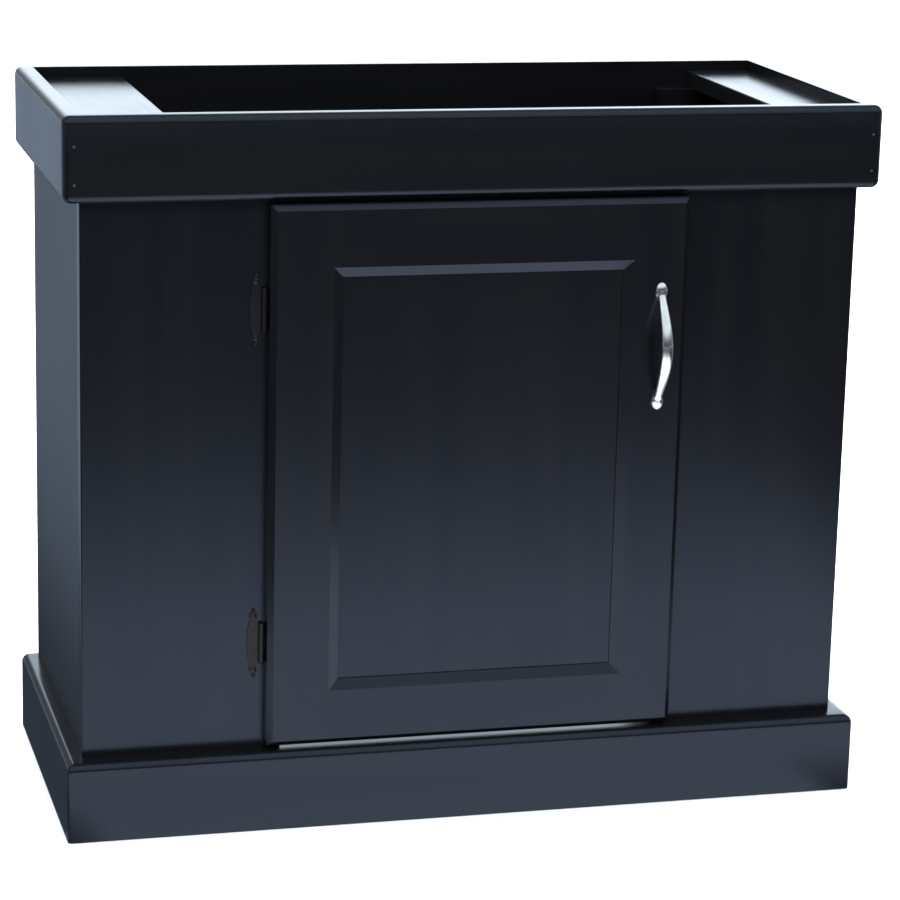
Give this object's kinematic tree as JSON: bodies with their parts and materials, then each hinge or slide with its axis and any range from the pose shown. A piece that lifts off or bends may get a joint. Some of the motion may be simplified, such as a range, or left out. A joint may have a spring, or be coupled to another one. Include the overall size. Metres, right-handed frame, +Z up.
{
  "type": "aquarium stand",
  "caption": "Black lacquered pine cabinet stand for a glass aquarium, with a hinged panelled door, a bow pull and an open back.",
  "frame": {"origin": "on the floor under the middle of the whole stand's box, pull included", "axes": "+X to the right seen from the front, +Y towards the open back, +Z up"},
  "size_m": [0.812, 0.4, 0.711],
  "materials": {
    "black_lacquer": "gloss",
    "bare_pine": "matte",
    "pull_chrome": "polished",
    "hinge_black": "satin",
    "zinc_steel": "satin",
    "brads": "satin",
    "catch_plastic": "matte",
    "magnet": "matte",
    "bumper_plastic": "translucent"
  },
  "bodies": {
    "cabinet": {"catch_case": "catch_plastic", "catch_magnet": "magnet", "catch_pole_plates": "zinc_steel", "catch_screws": "zinc_steel", "deck_left": "black_lacquer", "deck_right": "black_lacquer", "floor_cleat_left": "bare_pine", "floor_cleat_right": "bare_pine", "floor_panel": "black_lacquer", "front_stile_left": "black_lacquer", "front_stile_right": "black_lacquer", "header_rail": "black_lacquer", "hinge_frame_wing_lower": "hinge_black", "hinge_frame_wing_screws": "hinge_black", "hinge_frame_wing_upper": "hinge_black", "hinge_pin_lower": "hinge_black", "hinge_pin_upper": "hinge_black", "plinth_front": "black_lacquer", "plinth_left": "black_lacquer", "plinth_right": "black_lacquer", "plinth_screws": "zinc_steel", "rear_bottom_rail": "black_lacquer", "rear_stile_left": "black_lacquer", "rear_stile_right": "black_lacquer", "side_panel_left": "black_lacquer", "side_panel_right": "black_lacquer", "toe_rail": "black_lacquer", "trim_back": "black_lacquer", "trim_brads": "brads", "trim_front": "black_lacquer", "trim_left": "black_lacquer", "trim_right": "black_lacquer", "trim_screws": "zinc_steel"},
    "door": {"door_bottom_rail": "black_lacquer", "door_bumpers": "bumper_plastic", "door_dowels": "bare_pine", "door_hinge_stile": "black_lacquer", "door_latch_stile": "black_lacquer", "door_panel": "black_lacquer", "door_top_rail": "black_lacquer", "pull_handle": "pull_chrome", "pull_screws": "zinc_steel", "hinge_door_wing_lower": "hinge_black", "hinge_door_wing_upper": "hinge_black", "hinge_door_wing_screws": "zinc_steel", "strike_plate": "zinc_steel", "strike_screw": "zinc_steel"}
  },
  "joints": [
    {"name": "door_hinge", "type": "hinge", "parent": "cabinet", "child": "door", "pos_m": [-0.2119, -0.1537, 0.354], "axis": [0, 0, -1], "range_deg": [0, 100]}
  ]
}
